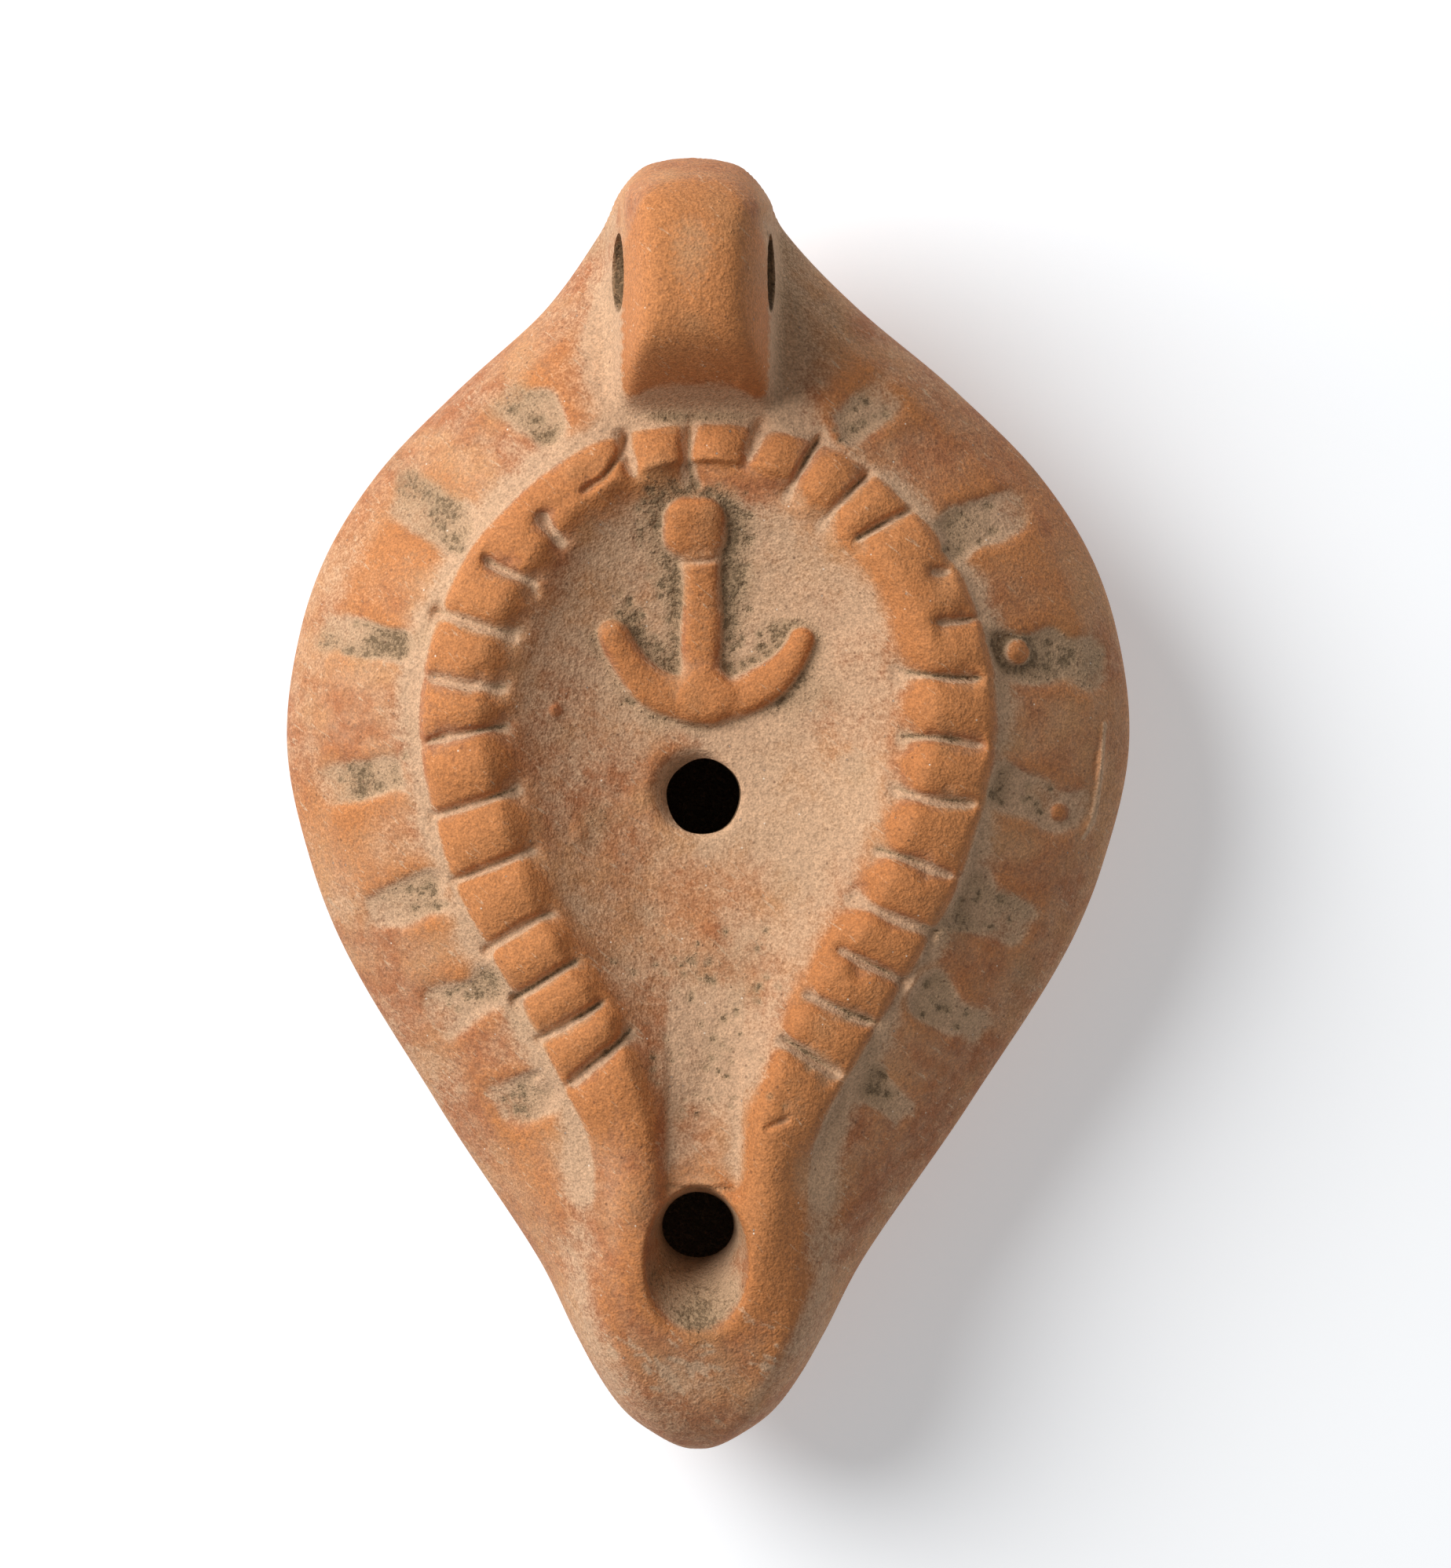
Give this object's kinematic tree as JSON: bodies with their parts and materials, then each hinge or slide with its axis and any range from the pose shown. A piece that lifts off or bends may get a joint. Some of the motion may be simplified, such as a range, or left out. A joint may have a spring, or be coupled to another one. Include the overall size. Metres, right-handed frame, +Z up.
{
  "type": "terracotta oil lamp",
  "caption": "Mould-made terracotta oil lamp: pear-shaped hollow body, pierced tab handle, notched ridge, anchor in relief, filling hole, channel and wick hole in the nozzle.",
  "frame": {"origin": "on the floor under the middle of the lamp's box", "axes": "+Y from the nozzle to the handle, along the lamp's length; +X to the right seen from above with the handle away; +Z up"},
  "size_m": [0.0655, 0.1, 0.0368],
  "materials": {
    "terracotta": "matte fired clay, unglazed, with dust and dirt in the recesses"
  },
  "bodies": {
    "root": {"lamp": "terracotta"}
  },
  "joints": []
}
